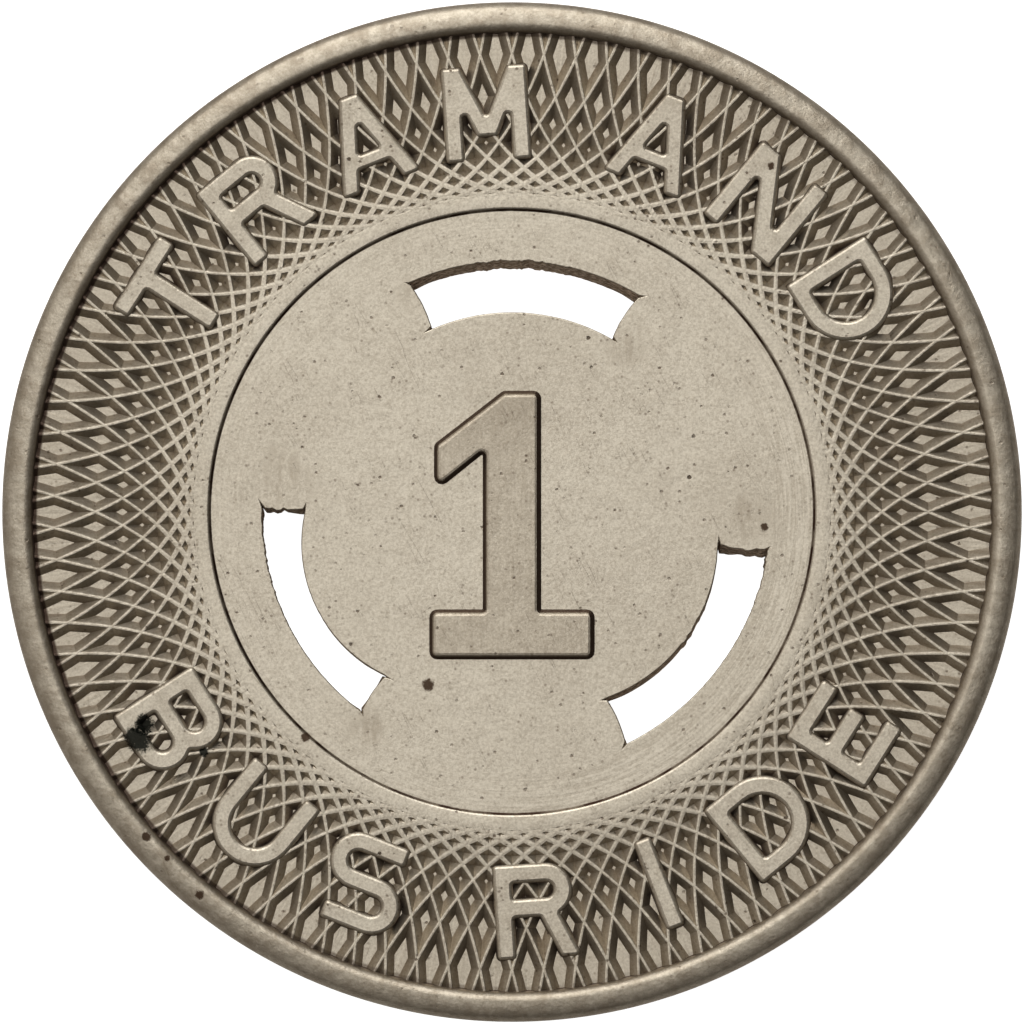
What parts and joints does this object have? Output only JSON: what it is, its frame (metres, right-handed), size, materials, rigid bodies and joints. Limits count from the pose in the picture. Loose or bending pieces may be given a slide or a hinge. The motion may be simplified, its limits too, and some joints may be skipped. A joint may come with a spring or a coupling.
{
  "type": "transit token",
  "caption": "Round struck metal fare token with a raised rim, a lettered border, a centre numeral and curved pierced slots.",
  "frame": {"origin": "centre of the token, on the plane of the lower rim's land, where it rests", "axes": "+Z out of the obverse face, +Y towards the top of the obverse legend, +X to its right"},
  "size_m": [0.023, 0.023, 0.0015],
  "materials": {
    "nickel_silver": "struck, lightly worn, dark toning in the recesses"
  },
  "bodies": {
    "root": {"token": "nickel_silver"}
  },
  "joints": []
}
